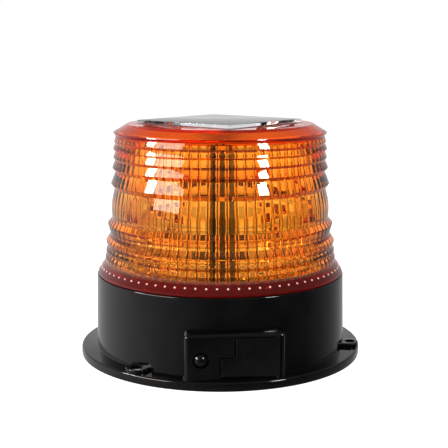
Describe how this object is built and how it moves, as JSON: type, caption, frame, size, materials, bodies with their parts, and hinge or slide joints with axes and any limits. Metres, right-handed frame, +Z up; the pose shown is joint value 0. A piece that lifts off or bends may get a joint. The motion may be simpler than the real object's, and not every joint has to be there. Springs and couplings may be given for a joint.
{
  "type": "solar warning beacon",
  "caption": "Round solar warning beacon: ribbed amber lens on a flanged black housing with bolt lugs, solar panel on top, push button and hinged charging-port hatch.",
  "frame": {"origin": "centre of the flange's underside, on the surface the beacon stands on", "axes": "+Z up along the lens axis, switch box and button facing -Y, +X to the viewer's right"},
  "size_m": [0.1368, 0.1368, 0.1135],
  "materials": {
    "gloss_black": "glossy moulded plastic, faint orange-peel",
    "button_black": "glossy domed plastic",
    "hatch_black": "glossy moulded plastic",
    "amber_lens": "clear amber polycarbonate, polished",
    "black_rubber": "matt",
    "foam": "matt closed-cell foam",
    "steel": "zinc plated",
    "socket_steel": "tinned shell",
    "solar_backing": "white laminate",
    "solar_silicon": "dark blue silicon with silver fingers",
    "clear_resin": "clear cast resin, mirror gloss",
    "red_wire": "satin insulation",
    "black_wire": "satin insulation",
    "chrome_reflector": "vacuum-metallised mirror",
    "white_plastic": "satin",
    "black_circuit": "black solder mask",
    "led_package": "white package with yellow phosphor",
    "green_circuit": "green solder mask",
    "chip_black": "matt moulding compound",
    "cell_wrap": "shrink wrap over a metal can"
  },
  "bodies": {
    "base": {"housing": "gloss_black", "base_cover": "gloss_black", "battery_holder": "gloss_black", "led_tower": "gloss_black", "tower_cap": "gloss_black", "lens": "amber_lens", "base_gasket": "black_rubber", "lens_seal": "black_rubber", "solar_pad": "foam", "holder_pad": "foam", "long_screw_1": "steel", "long_screw_2": "steel", "long_screw_3": "steel", "reflector_screw_1": "steel", "reflector_screw_2": "steel", "reflector_screw_3": "steel", "board_screw_1": "steel", "board_screw_2": "steel", "board_screw_3": "steel", "hatch_pin": "steel", "button_spring": "steel", "charging_socket": "socket_steel", "solar_board": "solar_backing", "solar_cell_1": "solar_silicon", "solar_cell_2": "solar_silicon", "solar_cell_3": "solar_silicon", "solar_cell_4": "solar_silicon", "solar_cover": "clear_resin", "solar_lead_positive": "red_wire", "battery_lead_positive": "red_wire", "solar_lead_negative": "black_wire", "battery_lead_negative": "black_wire", "reflector_dish": "chrome_reflector", "led_board_1": "black_circuit", "led_board_2": "black_circuit", "led_board_3": "black_circuit", "led_board_4": "black_circuit", "led_board_5": "black_circuit", "led_board_6": "black_circuit", "led_1": "led_package", "led_2": "led_package", "led_3": "led_package", "led_4": "led_package", "led_5": "led_package", "led_6": "led_package", "led_7": "led_package", "led_8": "led_package", "led_9": "led_package", "led_10": "led_package", "led_11": "led_package", "led_12": "led_package", "main_board": "green_circuit", "side_board": "green_circuit", "driver_chip": "chip_black", "switch_body": "chip_black", "battery_cell": "cell_wrap"},
    "button": {"button_cap": "button_black", "switch_plunger": "white_plastic"},
    "hatch": {"port_hatch": "hatch_black", "hatch_seal": "black_rubber"}
  },
  "joints": [
    {"name": "button_press", "type": "slide", "parent": "base", "child": "button", "axis": [0, 1, 0], "range_m": [0, 0.001], "stiffness_N_per_m": 400, "springref_m": -0.0008, "deforming": ["button_spring"]},
    {"name": "hatch_swing", "type": "hinge", "parent": "base", "child": "hatch", "pos_m": [0.0192, -0.0634, 0.0138], "axis": [0, 0, 1], "range_deg": [0, 95]}
  ]
}
